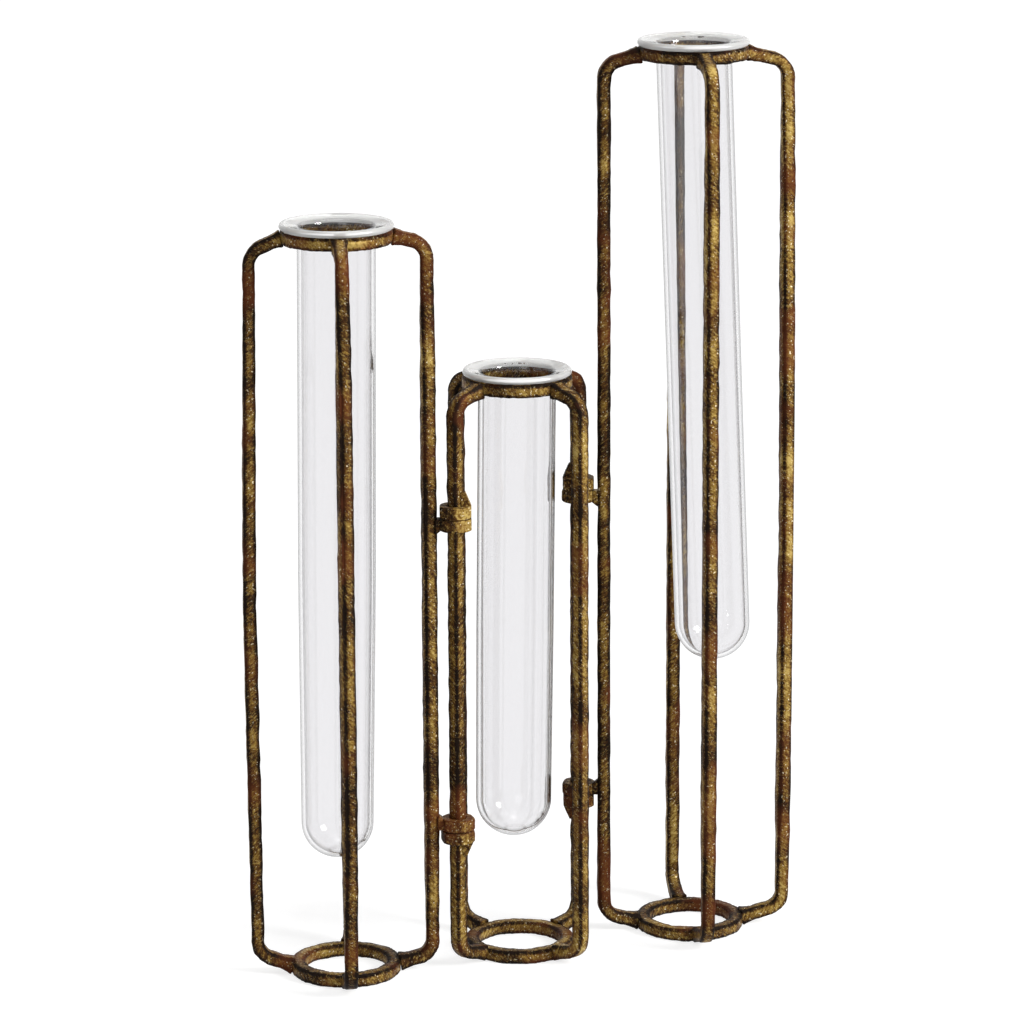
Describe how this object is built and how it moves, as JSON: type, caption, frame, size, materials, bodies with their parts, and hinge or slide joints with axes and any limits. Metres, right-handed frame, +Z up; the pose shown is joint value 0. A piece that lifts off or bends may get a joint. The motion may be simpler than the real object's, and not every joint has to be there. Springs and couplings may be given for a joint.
{
  "type": "test tube vase",
  "caption": "Hinged vase of bronze square-bar cages at stepped heights, each holding a lipped glass test tube for a flower stem.",
  "frame": {"origin": "centre of the footprint, on the floor", "axes": "+Z up, +X from the left cage to the right cage, -Y towards the front"},
  "size_m": [0.1738, 0.1044, 0.2902],
  "materials": {
    "cage_metal": "hammered antique gold leaf over dark brown",
    "hinge_metal": "hammered antique gold leaf over dark brown",
    "glass": "clear, polished"
  },
  "bodies": {
    "left_cage": {"left_bottom_ring": "cage_metal", "left_top_ring": "cage_metal", "left_bar_right": "cage_metal", "left_bar_back": "cage_metal", "left_bar_left": "cage_metal", "left_bar_front": "cage_metal", "upper_left_knuckle": "hinge_metal", "upper_left_link": "hinge_metal", "lower_left_knuckle": "hinge_metal", "lower_left_link": "hinge_metal"},
    "middle_cage": {"middle_bottom_ring": "cage_metal", "middle_top_ring": "cage_metal", "middle_bar_back_right": "cage_metal", "middle_bar_back_left": "cage_metal", "middle_bar_front_left": "cage_metal", "middle_bar_front_right": "cage_metal", "upper_left_collar": "hinge_metal", "lower_left_collar": "hinge_metal", "upper_right_collar": "hinge_metal", "lower_right_collar": "hinge_metal"},
    "right_cage": {"right_bottom_ring": "cage_metal", "right_top_ring": "cage_metal", "right_bar_right": "cage_metal", "right_bar_back": "cage_metal", "right_bar_left": "cage_metal", "right_bar_front": "cage_metal", "upper_right_knuckle": "hinge_metal", "upper_right_link": "hinge_metal", "lower_right_knuckle": "hinge_metal", "lower_right_link": "hinge_metal"},
    "left_tube": {"left_tube": "glass"},
    "middle_tube": {"middle_tube": "glass"},
    "right_tube": {"right_tube": "glass"}
  },
  "joints": [
    {"name": "left_hinge", "type": "hinge", "parent": "middle_cage", "child": "left_cage", "pos_m": [-0.02065, -0.01944, 0], "axis": [0, 0, 1], "range_deg": [-52, 139]},
    {"name": "right_hinge", "type": "hinge", "parent": "middle_cage", "child": "right_cage", "pos_m": [0.01796, 0.01917, 0], "axis": [0, 0, 1], "range_deg": [-61, 132]},
    {"name": "left_tube_lift", "type": "slide", "parent": "left_cage", "child": "left_tube", "axis": [0.0113, 0, 0.9999], "range_m": [0, 0.205]},
    {"name": "middle_tube_lift", "type": "slide", "parent": "middle_cage", "child": "middle_tube", "axis": [0.0122, 0, 0.9999], "range_m": [0, 0.155]},
    {"name": "right_tube_lift", "type": "slide", "parent": "right_cage", "child": "right_tube", "axis": [-0.0366, 0, 0.9993], "range_m": [0, 0.203]}
  ]
}
